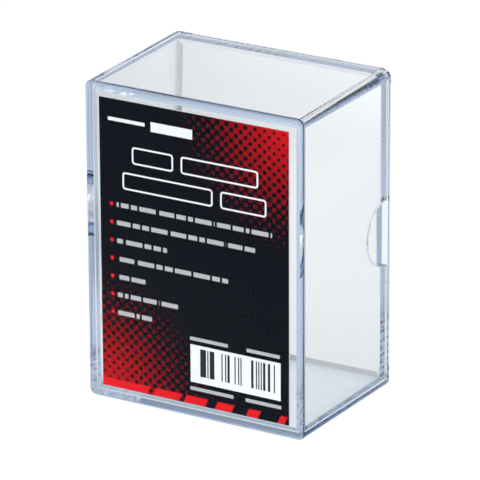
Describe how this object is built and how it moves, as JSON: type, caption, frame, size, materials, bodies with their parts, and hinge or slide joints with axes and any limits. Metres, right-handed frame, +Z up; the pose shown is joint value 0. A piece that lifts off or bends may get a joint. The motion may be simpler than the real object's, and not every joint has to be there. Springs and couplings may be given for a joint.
{
  "type": "card deck box",
  "caption": "Clear two-piece box for trading cards: a cover with thumb notches slides over a tray, and a loose printed card stands behind the front panel.",
  "frame": {"origin": "middle of the closed box's footprint: the centre of its bounding box in X and Y, at its lowest point", "axes": "+X to the right seen from the front panel, +Y from the front panel to the back plate (the way the tray goes into the cover is -Y), +Z up along the cards' long side"},
  "size_m": [0.0746, 0.0504, 0.1],
  "materials": {
    "cover_plastic": "clear, polished, very faint blue",
    "tray_plastic": "clear, polished, very faint blue",
    "printed_card": "satin print in near-black, red and white on card stock"
  },
  "bodies": {
    "tray": {"tray": "tray_plastic"},
    "cover": {"cover": "cover_plastic"},
    "insert_card": {"insert_card": "printed_card"}
  },
  "joints": [
    {"name": "cover_slide", "type": "slide", "parent": "tray", "child": "cover", "axis": [0, -1, 0], "range_m": [0, 0.06]},
    {"name": "insert_slide", "type": "slide", "parent": "tray", "child": "insert_card", "axis": [0, 1, 0], "range_m": [0, 0.0442]}
  ]
}
